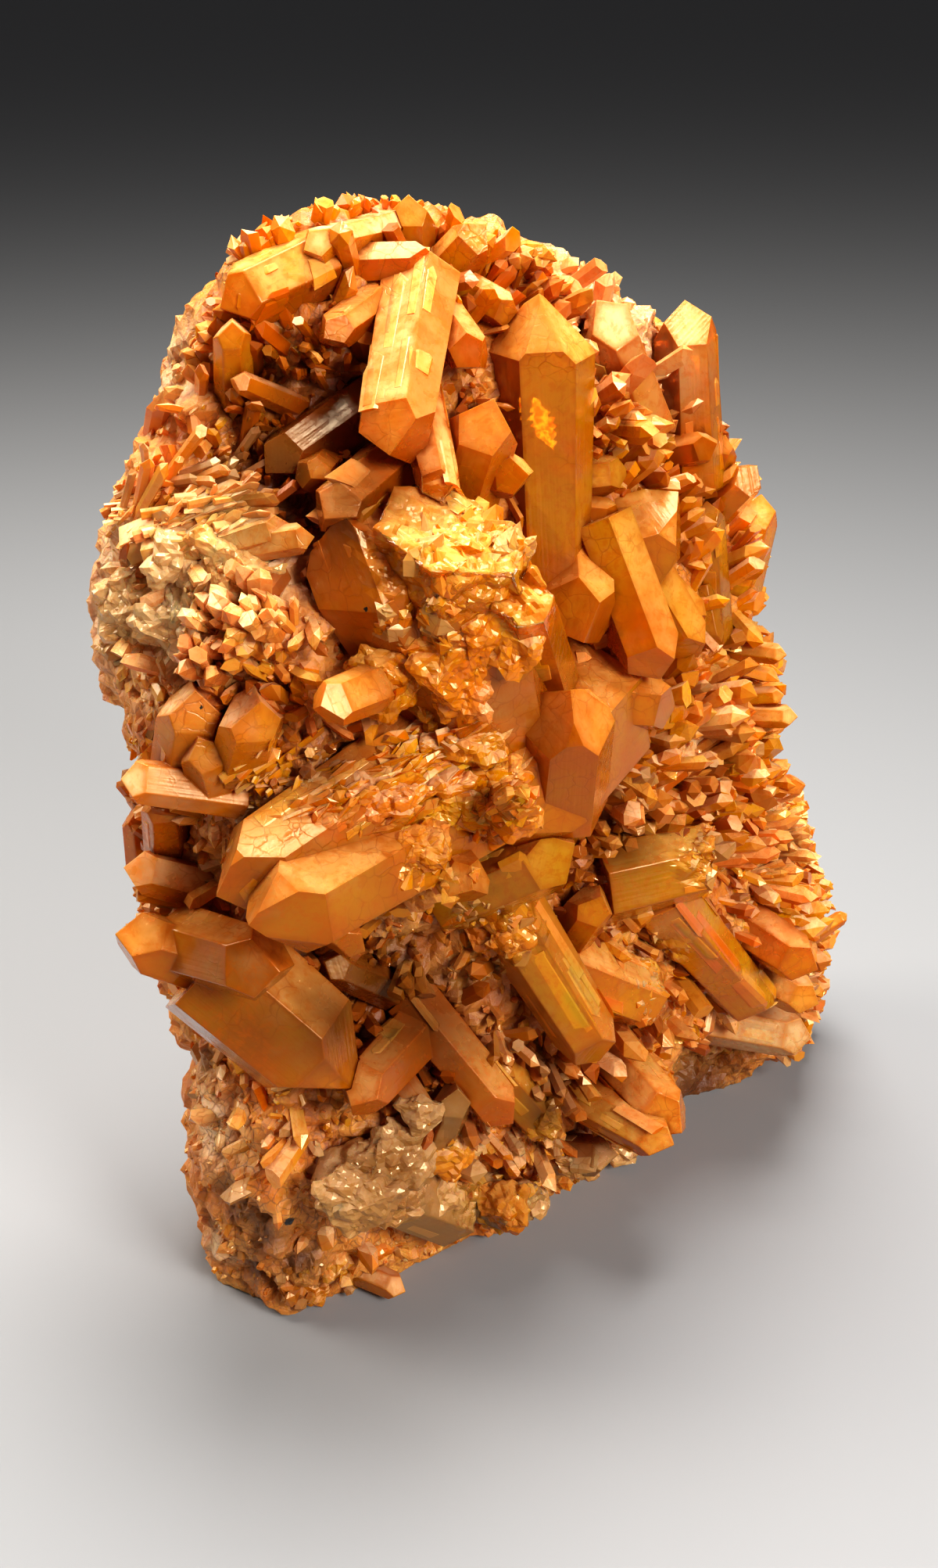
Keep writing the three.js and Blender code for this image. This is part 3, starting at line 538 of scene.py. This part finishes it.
class Growth:
    """Gathers many small crystals into one mesh."""

    def __init__(self):
        self.corners = []
        self.faces = []
        self.tints = []
        self.depths = []

    def crystal(self, base, axis, length, radius, rng, end="point", flat=1.0, side=None, deep=0.0):
        """One small six-sided crystal, a little uneven, with a point, a chisel edge or a snapped end."""
        axis = axis.normalized()
        if side is None:
            side = axis.orthogonal().normalized()
            side.rotate(Matrix.Rotation(rng.uniform(0, math.tau), 3, axis))
        other = axis.cross(side)
        head = min(length * 0.55, radius * rng.uniform(0.9, 1.4))
        start = len(self.corners)
        reach = [radius * rng.uniform(0.8, 1.2) for _ in range(6)]
        outs = []
        for step in range(6):
            turn = math.tau * step / 6
            outs.append((side * math.cos(turn) + other * (math.sin(turn) * flat)) * reach[step])
        slant = (side * rng.uniform(-0.6, 0.6) + other * rng.uniform(-0.6, 0.6))
        shoulder = []
        for out in outs:
            level = length if end == "snapped" else length - head * rng.uniform(0.7, 1.3)
            shoulder.append(base + axis * (level + out.dot(slant)) + out)
        self.corners += [base + out * 0.85 for out in outs] + shoulder
        faces = [(5, 4, 3, 2, 1, 0)]
        faces += [(i, (i + 1) % 6, 6 + (i + 1) % 6, 6 + i) for i in range(6)]
        if end == "snapped":
            faces.append((6, 7, 8, 9, 10, 11))
        elif end == "chisel":
            ridge = outs[0] * 0.55
            self.corners += [base + axis * length + ridge, base + axis * (length - head * 0.2) - ridge]
            faces += [(6, 7, 12), (7, 8, 13, 12), (8, 9, 13), (9, 10, 13), (10, 11, 12, 13), (11, 6, 12)]
        else:
            drift = (side * rng.uniform(-0.35, 0.35) + other * rng.uniform(-0.35, 0.35)) * radius
            self.corners.append(base + axis * length + drift)
            faces += [(6 + i, 6 + (i + 1) % 6, 12) for i in range(6)]
        self.faces += [tuple(start + i for i in face) for face in faces]
        self.tints += [rng.random()] * len(faces)
        self.depths += [deep] * len(faces)

    def chunk(self, middle, reach, rng, deep=0.0):
        """One lump with a few large flat faces, as broken quartz has."""
        bm = bmesh.new()
        for _ in range(CHUNK_CORNERS):
            way = scattered(rng, 1.0).normalized()
            bm.verts.new(Vector(w * r for w, r in zip(way, reach)) * rng.uniform(0.85, 1.1))
        bmesh.ops.convex_hull(bm, input=bm.verts)
        bmesh.ops.delete(bm, geom=[v for v in bm.verts if not v.link_faces], context="VERTS")
        split_edges(bm, CHUNK_STEP)
        bm.normal_update()
        rise = [shells((middle + v.co) / MM * 1.4) * 0.7 * MM for v in bm.verts]
        for vertex, way, height in zip(bm.verts, [v.normal.copy() for v in bm.verts], rise):
            vertex.co += way * height
        bm.verts.index_update()
        start = len(self.corners)
        self.corners += [middle + v.co for v in bm.verts]
        self.faces += [tuple(start + v.index for v in face.verts) for face in bm.faces]
        self.tints += [rng.random()] * len(bm.faces)
        self.depths += [deep] * len(bm.faces)
        bm.free()

    def mesh(self, name):
        mesh = bpy.data.meshes.new(name)
        mesh.from_pydata([(c.x, c.y, max(c.z, 0.0)) for c in self.corners], [], self.faces)
        attribute = mesh.attributes.new("tint", "FLOAT", "FACE")
        attribute.data.foreach_set("value", self.tints)
        # How shut in each small crystal sits, which the materials darken as painted shade.
        mesh.attributes.new("deep", "FLOAT", "FACE").data.foreach_set("value", self.depths)
        bm = bmesh.new()
        bm.from_mesh(mesh)
        facet_map(bm)
        bm.to_mesh(mesh)
        bm.free()
        return mesh


def area_samples(mesh, count, rng):
    """Evenly spread points on a mesh, with their normals."""
    mesh.calc_loop_triangles()
    triangles = mesh.loop_triangles
    running = np.cumsum([t.area for t in triangles])
    for _ in range(count):
        triangle = triangles[int(np.searchsorted(running, rng.random() * running[-1]))]
        a, b, c = (mesh.vertices[i].co for i in triangle.vertices)
        u, v = sorted((rng.random(), rng.random()))
        yield a * u + b * (v - u) + c * (1 - v), triangle.normal.copy()


def free_length(base, axis, length, radius):
    """How far a small crystal can grow before it meets a large one."""
    hit = large_tree.ray_cast(base, axis, length + radius)
    if hit[0] is None:
        return length
    return max(0.0, hit[3] - radius * 0.5)


def inside_large(point):
    """True where a point lies inside a large crystal."""
    nearest = large_tree.find_nearest(point)
    return nearest[0] is not None and (point - nearest[0]).dot(nearest[1]) < 0


growths = {finish: Growth() for finish in QUARTZ}
ENDS = ("point", "point", "point", "point", "point", "chisel", "chisel", "snapped")


def grow(point, normal, axis, length, radius, finish, rng, flat=None):
    """Sets one small crystal on a surface, clear of the large ones and inside the specimen's outline."""
    if inside_large(point):
        return
    axis = axis.normalized()
    if axis.dot(normal) < 0.15:
        axis = (axis + normal * (0.3 - axis.dot(normal))).normalized()
    length = free_length(point + normal * radius, axis, length, radius)
    for _ in range(3):
        if in_outline(point + axis * (length + radius * 0.3)):
            break
        length *= 0.65
    else:
        return
    if length < radius * 0.7 or (point + axis * length).z < radius:
        return
    sink = radius * 1.2
    flat = rng.uniform(0.5, 1.0) if flat is None else flat
    deep = shelter(point, normal, seen_tree)
    base = point - normal * sink
    growths[finish].crystal(base, axis, length + sink, radius, rng, rng.choice(ENDS), flat, deep=deep)


def pick(weights, rng):
    """One finish, drawn by its weight."""
    return rng.choices(list(weights), weights=list(weights.values()))[0]


def scattered(rng, amount):
    return Vector((rng.gauss(0, 1), rng.gauss(0, 1), rng.gauss(0, 1))) * amount


# Gardens of small crystals that the photograph shows: their middle and half sizes in pixels, how many, their length
# and radius in millimetres, the way they point across and up the picture and towards the camera, and their finishes.
WARM = {"orange": 5, "amber": 3, "rose": 2}
BROWN = {"orange": 4, "olive": 3, "rose": 2, "milky": 1}
GLASSY = {"milky": 4, "amber": 2, "rose": 2}
GARDENS = [
    ((870, 980), (110, 110), 170, (7, 19), (1.6, 3.8), (0.5, 0.2, 0.6), BROWN),
    ((930, 700), (70, 150), 120, (6, 16), (1.6, 3.6), (0.6, 0.4, 0.3), WARM),
    ((960, 1010), (70, 130), 120, (6, 16), (1.2, 3.0), (0.9, 0.2, 0.3), WARM),
    ((860, 560), (60, 90), 70, (6, 14), (1.4, 2.6), (0.7, 0.3, 0.4), WARM),
    ((500, 310), (210, 70), 190, (6, 17), (1.5, 3.4), (0.1, 0.7, 0.5), WARM),
    ((300, 400), (80, 110), 110, (6, 15), (1.4, 3.0), (-0.6, 0.5, 0.4), WARM),
    ((640, 370), (90, 60), 70, (7, 16), (1.5, 3.2), (0.5, 0.2, 0.7), WARM),
    ((760, 540), (70, 110), 80, (7, 16), (1.5, 3.4), (0.4, 0.0, 0.8), WARM),
    ((400, 540), (90, 110), 130, (5, 14), (0.9, 2.0), (-0.1, 0.2, 0.8), {"orange": 4, "olive": 3, "rose": 1}),
    ((760, 770), (90, 90), 60, (6, 14), (1.4, 3.0), (0.3, -0.2, 0.8), WARM),
    ((330, 860), (80, 110), 120, (5, 13), (1.3, 3.2), (-0.4, 0.2, 0.7), {"orange": 3, "rose": 4, "amber": 1}),
    ((210, 1080), (60, 90), 70, (6, 14), (1.4, 3.2), (-0.8, 0.1, 0.4), WARM),
    ((240, 650), (110, 50), 70, (8, 22), (1.0, 2.0), (0.9, 0.3, 0.3), {"rose": 3, "milky": 2, "amber": 1}),
    ((470, 1260), (90, 80), 90, (5, 14), (1.0, 2.4), (-0.2, -0.2, 0.8), {"orange": 3, "olive": 4}),
    ((640, 1400), (110, 80), 110, (6, 16), (1.3, 3.0), (0.2, -0.5, 0.8), GLASSY),
    ((800, 1360), (100, 90), 90, (7, 18), (1.6, 3.6), (0.5, -0.6, 0.6), WARM),
    ((900, 1180), (110, 90), 110, (7, 16), (1.6, 3.6), (0.7, -0.3, 0.6), BROWN),
    ((1010, 1180), (60, 110), 110, (5, 13), (1.2, 2.8), (0.9, 0.0, 0.4), WARM),
    ((760, 1110), (80, 90), 80, (6, 14), (1.5, 3.2), (0.5, 0.0, 0.8), BROWN),
    ((660, 1520), (90, 60), 50, (4, 10), (1.6, 3.4), (0.4, -0.3, 0.7), {"milky": 3, "amber": 3}),
    ((430, 1620), (90, 50), 18, (4, 9), (1.6, 3.6), (0.1, -0.1, 0.8), {"rose": 3, "milky": 3}),
    ((980, 1310), (70, 40), 60, (4, 9), (1.4, 3.0), (0.5, -0.2, 0.7), {"rose": 3, "milky": 3}),
]


def grow_gardens():
    rng = random.Random(11)
    for middle, half, count, lengths, radii, way, finishes in GARDENS:
        lean = RIGHT * way[0] + RISE * way[1] - FORWARD * way[2]
        for _ in range(count):
            turn, share = rng.uniform(0, math.tau), math.sqrt(rng.random())
            pixel = (middle[0] + half[0] * share * math.cos(turn), middle[1] + half[1] * share * math.sin(turn))
            point, normal, _, _ = rock_tree.ray_cast(EYE, through_pixel(pixel))
            if point is None:
                continue
            axis = lean.normalized() * 1.1 + normal * 0.4 + scattered(rng, 0.3)
            size = rng.random() ** 1.6
            length = (lengths[0] + (lengths[1] - lengths[0]) * size) * MM
            radius = (radii[0] + (radii[1] - radii[0]) * size) * MM
            grow(point, normal, axis, length, radius, pick(finishes, rng), rng)


# The specimen's outline in the photograph, which no small crystal crosses.
OUTLINE = [
    (300, 1692), (278, 1650), (262, 1600), (255, 1550), (236, 1500), (234, 1450), (245, 1350), (230, 1300),
    (205, 1250), (150, 1225), (150, 1180), (168, 1150), (165, 1100), (150, 1075), (172, 1040), (150, 1000),
    (160, 975), (160, 900), (140, 850), (118, 800), (118, 750), (130, 700), (150, 600), (180, 560), (197, 500),
    (235, 450), (262, 400), (290, 300), (330, 285), (400, 262), (450, 250), (540, 248), (575, 262), (600, 285),
    (640, 300), (700, 318), (780, 340), (815, 355), (815, 395), (850, 400), (882, 388), (915, 430), (905, 540),
    (945, 560), (970, 600), (990, 660), (990, 760), (975, 800), (1010, 835), (1005, 870), (1015, 915), (990, 960),
    (1030, 1000), (1045, 1060), (1050, 1110), (1085, 1165), (1070, 1200), (1060, 1270), (1045, 1350), (1020, 1362),
    (897, 1345), (859, 1330), (868, 1400), (875, 1450), (790, 1490), (700, 1540), (600, 1600), (515, 1665),
    (440, 1690),
]


def in_outline(point):
    """True where a point lies inside the specimen's outline in the photograph."""
    u, v = pixel_of(point)
    inside = False
    for (u1, v1), (u2, v2) in zip(OUTLINE, OUTLINE[1:] + OUTLINE[:1]):
        if (v1 > v) != (v2 > v) and u < u1 + (v - v1) / (v2 - v1) * (u2 - u1):
            inside = not inside
    return inside


HEART = Vector((-5, 5, 140)) * MM


def zone_of(point, normal):
    """The part of the specimen that a point of the matrix belongs to."""
    if point.z < 4 * MM:
        return None
    if normal.dot(ACROSS) < -0.3:
        return "back"
    if point.z < 60 * MM and point.dot(ALONG) < 25 * MM:
        return "foot"
    if normal.dot(ALONG) < -0.45 and point.dot(ALONG) < -40 * MM:
        return "left"
    if normal.dot(ALONG) > 0.5 and point.dot(ALONG) > 40 * MM:
        return "right"
    return "front"


# How many small crystals a zone gets, their shortest and longest length and radius in millimetres, their finishes,
# and how far they lie down along the surface.
CRUSTY = {"rose": 3, "milky": 2, "orange": 3}
INFILL = {
    "front": [(950, (4, 14), (1.3, 3.2), WARM, 0.8), (1500, (1.5, 6), (0.7, 1.6), WARM, 0.8)],
    "right": [(720, (5, 16), (1.5, 3.6), WARM, 0.9), (1000, (1.5, 6), (0.8, 1.7), WARM, 0.8)],
    "left": [(650, (3, 10), (1.0, 2.6), CRUSTY, 3.0), (1300, (0.8, 2.4), (0.5, 1.2), CRUSTY, 1.2)],
    "foot": [(90, (3, 8), (1.4, 3.4), CRUSTY, 3.0), (700, (0.6, 1.8), (0.5, 1.1), CRUSTY, 1.2)],
    "back": [(380, (4, 12), (1.2, 3.4), CRUSTY, 2.6), (1500, (0.8, 3.0), (0.7, 1.6), CRUSTY, 1.6)],
}
PATCH_SIZE = 26 * MM


def grow_infill():
    rng = random.Random(23)
    wanted = {zone: [row for row in rows for _ in range(row[0])] for zone, rows in INFILL.items()}
    for point, normal in area_samples(rock_mesh, 60000, rng):
        zone = zone_of(point, normal)
        bare = zone == "back" and noise.noise(point / PATCH_SIZE) < 0.0
        if zone is None or bare or not wanted[zone]:
            continue
        _, lengths, radii, finishes, lying = wanted[zone].pop(rng.randrange(len(wanted[zone])))
        out = (point - HEART).normalized()
        axis = normal * 0.7 + out * 0.3 + scattered(rng, 0.6 * lying)
        size = rng.random() ** 1.5
        length = (lengths[0] + (lengths[1] - lengths[0]) * size) * MM
        radius = (radii[0] + (radii[1] - radii[0]) * size) * MM
        grow(point, normal, axis, length, radius, pick(finishes, rng), rng)


# Crusts and growth steps on whatever the photograph shows there: as the gardens, and how flat they are.
CRUSTS = [
    ((588, 820), (50, 74), 120, (1.5, 4), (1.2, 3.0), (0.1, 0.4, 0.8), WARM, 0.8),
    ((565, 975), (100, 44), 130, (6, 16), (1.6, 3.6), (0.85, 0.5, -0.05), {"rose": 4, "orange": 2}, 0.3),
    ((635, 1040), (48, 42), 70, (4, 10), (1.4, 3.0), (0.6, 0.4, 0.6), WARM, 0.5),
    ((470, 1040), (85, 30), 60, (4, 13), (1.2, 2.6), (0.85, 0.5, 0.1), {"amber": 3, "orange": 2}, 0.45),
    ((525, 800), (44, 30), 26, (3, 7), (2.4, 5), (0.0, 0.5, 0.8), {"amber": 2, "milky": 2}, 0.8),
    ((600, 690), (75, 42), 34, (3, 9), (2.0, 5.5), (0.2, 0.7, 0.5), {"amber": 3, "milky": 3}, 0.5),
    ((625, 1200), (55, 55), 70, (3, 8), (1.5, 3.8), (0.3, 0.1, 0.8), GLASSY, 0.6),
    ((832, 1250), (26, 62), 50, (2, 5), (1.2, 2.8), (0.5, 0.2, 0.7), GLASSY, 0.6),
    ((905, 1095), (20, 42), 36, (2, 5), (1.2, 2.8), (0.6, 0.2, 0.6), GLASSY, 0.6),
    ((985, 1065), (30, 48), 50, (2, 5), (1.2, 3.0), (0.6, 0.2, 0.6), GLASSY, 0.6),
    ((590, 1490), (22, 50), 26, (3, 7), (1.4, 3.0), (0.3, 0.2, 0.8), {"milky": 3, "rose": 2}, 0.6),
    ((650, 1525), (40, 36), 26, (3, 6), (1.3, 3.0), (0.5, -0.2, 0.7), {"amber": 3, "milky": 1}, 0.7),
    ((560, 1118), (44, 24), 30, (3, 6), (2.0, 4.0), (0.2, 0.0, 0.8), WARM, 0.8),
    ((235, 655), (95, 34), 110, (6, 18), (0.8, 1.8), (0.9, 0.35, 0.1), {"rose": 3, "orange": 3}, 0.5),
    ((370, 1000), (70, 50), 60, (5, 14), (1.0, 2.4), (0.85, 0.5, 0.1), {"rose": 4, "orange": 1}, 0.35),
]


def grow_crusts():
    rng = random.Random(31)
    for middle, half, count, lengths, radii, way, finishes, flat in CRUSTS:
        lean = (RIGHT * way[0] + RISE * way[1] - FORWARD * way[2]).normalized()
        for _ in range(count):
            turn, share = rng.uniform(0, math.tau), math.sqrt(rng.random())
            pixel = (middle[0] + half[0] * share * math.cos(turn), middle[1] + half[1] * share * math.sin(turn))
            point, normal, _, _ = seen_tree.ray_cast(EYE, through_pixel(pixel))
            if point is None:
                continue
            size = rng.random() ** 1.4
            length = (lengths[0] + (lengths[1] - lengths[0]) * size) * MM
            radius = (radii[0] + (radii[1] - radii[0]) * size) * MM
            axis = (lean + scattered(rng, 0.25)).normalized()
            base = point - normal * radius * 0.6 - axis * length * 0.4
            if in_outline(base + axis * length):
                end = rng.choice(("chisel", "point"))
                growths[pick(finishes, rng)].crystal(base, axis, length, radius, rng, end, flat)


CHUNK_SINK = 0.55

# Broken lumps of clear and milky quartz: their middles in pixels, half sizes in millimetres and finishes.
CHUNKS = [
    ((455, 1515), (14, 10, 12), "milky"), ((510, 1500), (14, 10, 13), "milky"), ((560, 1480), (11, 8, 12), "rose"),
    ((575, 1530), (8, 7, 8), "milky"), ((500, 1560), (12, 8, 8), "milky"), ((540, 1420), (7, 6, 8), "milky"),
    ((640, 1530), (9, 7, 8), "amber"), ((665, 1500), (7, 6, 7), "amber"), ((615, 1560), (8, 6, 6), "amber"),
    ((690, 1540), (5, 5, 5), "milky"), ((735, 1500), (9, 6, 6), "milky"), ((790, 1475), (8, 6, 5), "milky"),
    ((700, 1445), (7, 6, 7), "amber"), ((430, 1620), (9, 7, 8), "rose"), ((480, 1600), (8, 6, 6), "amber"),
    ((250, 1600), (7, 6, 8), "rose"), ((400, 1660), (7, 6, 6), "rose"), ((470, 1660), (6, 5, 5), "rose"),
    ((170, 760), (13, 8, 13), "milky"), ((215, 800), (10, 7, 9), "milky"), ((150, 830), (8, 7, 8), "milky"),
    ((300, 740), (11, 7, 10), "amber"), ((262, 700), (8, 6, 7), "amber"), ((210, 720), (9, 7, 8), "milky"),
    ((255, 790), (8, 6, 7), "milky"), ((320, 790), (7, 6, 7), "rose"),
    ((560, 840), (11, 9, 14), "orange"), ((600, 890), (10, 8, 11), "rose"), ((510, 860), (9, 8, 12), "amber"),
    ((545, 920), (11, 8, 9), "amber"), ((620, 800), (7, 6, 10), "orange"), ((670, 825), (8, 6, 12), "rose"),
    ((600, 1045), (14, 8, 8), "amber"), ((545, 1000), (15, 8, 7), "rose"), ((640, 1000), (11, 8, 8), "orange"),
    ((485, 1010), (13, 7, 6), "rose"), ((660, 1060), (9, 7, 8), "amber"), ((585, 960), (13, 8, 6), "rose"),
    ((540, 1070), (12, 7, 7), "orange"), ((585, 700), (8, 6, 6), "amber"), ((640, 690), (7, 6, 6), "milky"), ((660, 1200), (7, 6, 7), "amber"),
    ((615, 1190), (8, 6, 8), "amber"), ((980, 1080), (8, 6, 10), "milky"),
]


def grow_chunks():
    rng = random.Random(37)
    for pixel, reach, finish in CHUNKS:
        point, normal, _, _ = seen_tree.ray_cast(EYE, through_pixel(pixel))
        if point is None:
            continue
        middle = point - normal * min(reach) * CHUNK_SINK * MM
        growths[finish].chunk(middle, [r * MM for r in reach], rng, shelter(point, normal, seen_tree))


# Thin steps on the large crystals' long faces, side by side with their axes, but for the smoothest ones.
SMOOTH = ("tall_centre_crystal", "great_orange_crystal", "great_amber_crystal")
STEP_AREA = 90e-6
STEP_LEAST_EDGE = 11 * MM


def grow_steps():
    rng = random.Random(41)
    for name, node in crystal_nodes.items():
        if name in SMOOTH:
            continue
        bm = bmesh.new()
        bm.from_mesh(node.data)
        bmesh.ops.remove_doubles(bm, verts=bm.verts, dist=0.01 * MM)
        bmesh.ops.dissolve_limit(bm, angle_limit=math.radians(1), verts=bm.verts, edges=bm.edges)
        for face in bm.faces:
            edge = max(face.edges, key=lambda e: e.calc_length())
            if edge.calc_length() < STEP_LEAST_EDGE:
                continue
            axis = (edge.verts[1].co - edge.verts[0].co).normalized()
            middle = face.calc_center_median()
            if axis.dot(middle - HEART) < 0:
                axis = -axis
            side = face.normal.cross(axis)
            for _ in range(int(face.calc_area() / STEP_AREA * rng.uniform(0.3, 1.2))):
                point = middle.lerp(rng.choice(face.verts).co, rng.random() ** 0.7)
                width = rng.uniform(1.2, 3.8) * MM
                thickness = rng.uniform(0.5, 0.9) * MM
                length = rng.uniform(0.2, 0.55) * edge.calc_length()
                base = point - axis * length * 0.5 - face.normal * thickness * rng.uniform(0.45, 0.8)
                ends = (base, base + axis * length)
                if any(large_tree.find_nearest(end)[3] > thickness for end in ends):
                    continue
                growth = growths[SLOT_OF[name]]
                end = rng.choice(("chisel", "snapped", "point"))
                growth.crystal(base, axis, length, width, rng, end, thickness / width, side)
        bm.free()


grow_gardens()
grow_chunks()
grow_crusts()
grow_infill()
grow_steps()
for finish, growth in growths.items():
    mesh = growth.mesh("growth_" + finish)
    paint(mesh, spots)
    add_piece("growth_" + finish, mesh, finish, SMALL_QUARTZ[finish])

# A healed fracture inside the tall clear crystal, which glows like a small flame by a painted glow of its own emission
# and painted glints.
FLAME_PIXEL = (694, 540)
FLAME_DEPTH = 4 * MM
FLAME_SIZE = (3.4 * MM, 14 * MM)
FLAME_STEPS = (10, 24)
FLAME_THICKNESS = 0.15 * MM


def flame_veil():
    point = large_tree.ray_cast(EYE, through_pixel(FLAME_PIXEL))[0]
    middle = point + through_pixel(FLAME_PIXEL) * FLAME_DEPTH
    tall = (RISE * 0.9 - RIGHT * 0.35).normalized()
    wide = tall.cross(FORWARD).normalized()
    across, rows = FLAME_STEPS
    bm = bmesh.new()
    grid = []
    for row in range(rows + 1):
        height = row / rows - 0.5
        for step in range(across + 1):
            ragged = 0.75 + 0.9 * noise.noise(Vector((row / 1.7, round(step / across) * 5.0, 9.0)))
            narrow = max(0.02, math.cos(height * math.pi)) ** 0.8
            out = (step / across - 0.5) * FLAME_SIZE[0] * 2 * ragged * narrow
            bend = noise.noise(Vector((row / 5, step / 3, 3.0))) * 2.2 * MM
            grid.append(bm.verts.new(middle + tall * (height * FLAME_SIZE[1]) + wide * out + FORWARD * bend))
    for row in range(rows):
        for step in range(across):
            low = row * (across + 1) + step
            bm.faces.new((grid[low], grid[low + 1], grid[low + across + 2], grid[low + across + 1]))
    bmesh.ops.solidify(bm, geom=bm.faces, thickness=FLAME_THICKNESS)
    bmesh.ops.recalc_face_normals(bm, faces=bm.faces)
    mesh = bpy.data.meshes.new("flame_veil")
    bm.to_mesh(mesh)
    bm.free()
    n = Nodes("golden_veil")
    glints = n.ramp(n.noise(520, 4, n.warped(n.place(), 0.004)), 0.44, 0.56)
    glow = n.mix(glints, (0.90, 0.22, 0.0), (1.0, 0.78, 0.22))
    # Painted glow and glints: the veil emits its own colour, bright yellow where the noise is high.
    n.shade(Base_Color=glow, Emission_Color=glow, Emission_Strength=0.7, Roughness=0.2,
            Normal=n.bump(glints, 0.8, 0.001))
    add_piece("flame_veil", mesh, "amber", n.material)


flame_veil()

# The studio: a pale floor, soft light, and the photograph's camera.


def floor():
    mesh = bpy.data.meshes.new("floor")
    size = 12.0
    mesh.from_pydata([(-size, -size, 0), (size, -size, 0), (size, size, 0), (-size, size, 0)], [], [(0, 1, 2, 3)])
    n = Nodes("floor")
    n.shade(Base_Color=(0.30, 0.295, 0.29), Roughness=0.8)
    mesh.materials.append(n.material)
    piece = bpy.data.objects.new("floor", mesh)
    bpy.context.scene.collection.objects.link(piece)


def area_light(name, place, size, power, colour=(1, 1, 1)):
    data = bpy.data.lights.new(name, "AREA")
    data.shape = "RECTANGLE"
    data.size, data.size_y = size
    data.energy = power
    data.color = colour
    light = bpy.data.objects.new(name, data)
    light.location = place
    light.rotation_euler = (AIM - Vector(place)).to_track_quat("-Z", "Y").to_euler()
    bpy.context.scene.collection.objects.link(light)


def studio():
    floor()
    area_light("overhead", (0.0, 0.1, 1.1), (0.6, 0.5), 18)
    area_light("left", (-0.9, 0.1, 0.75), (0.5, 0.6), 8, (1.0, 0.97, 0.92))
    area_light("front", (0.75, -1.0, 0.8), (0.5, 0.5), 21)
    world = bpy.data.worlds.new("studio")
    world.use_nodes = True
    world.node_tree.nodes["Background"].inputs["Color"].default_value = (0.95, 0.95, 1.0, 1)
    world.node_tree.nodes["Background"].inputs["Strength"].default_value = 0.07
    bpy.context.scene.world = world
    data = bpy.data.cameras.new("picture")
    data.sensor_fit = "VERTICAL"
    data.sensor_height = 36
    data.lens = data.sensor_height / 2 / math.tan(FIELD_OF_VIEW / 2)
    data.clip_start = 0.01
    camera = bpy.data.objects.new("picture", data)
    camera.location = EYE
    camera.rotation_euler = (math.pi / 2 - ELEVATION, 0, 0)
    bpy.context.scene.collection.objects.link(camera)
    bpy.context.scene.camera = camera


studio()
bpy.context.scene.view_settings.view_transform = "Standard"
bpy.context.scene.view_settings.look = "Medium High Contrast"
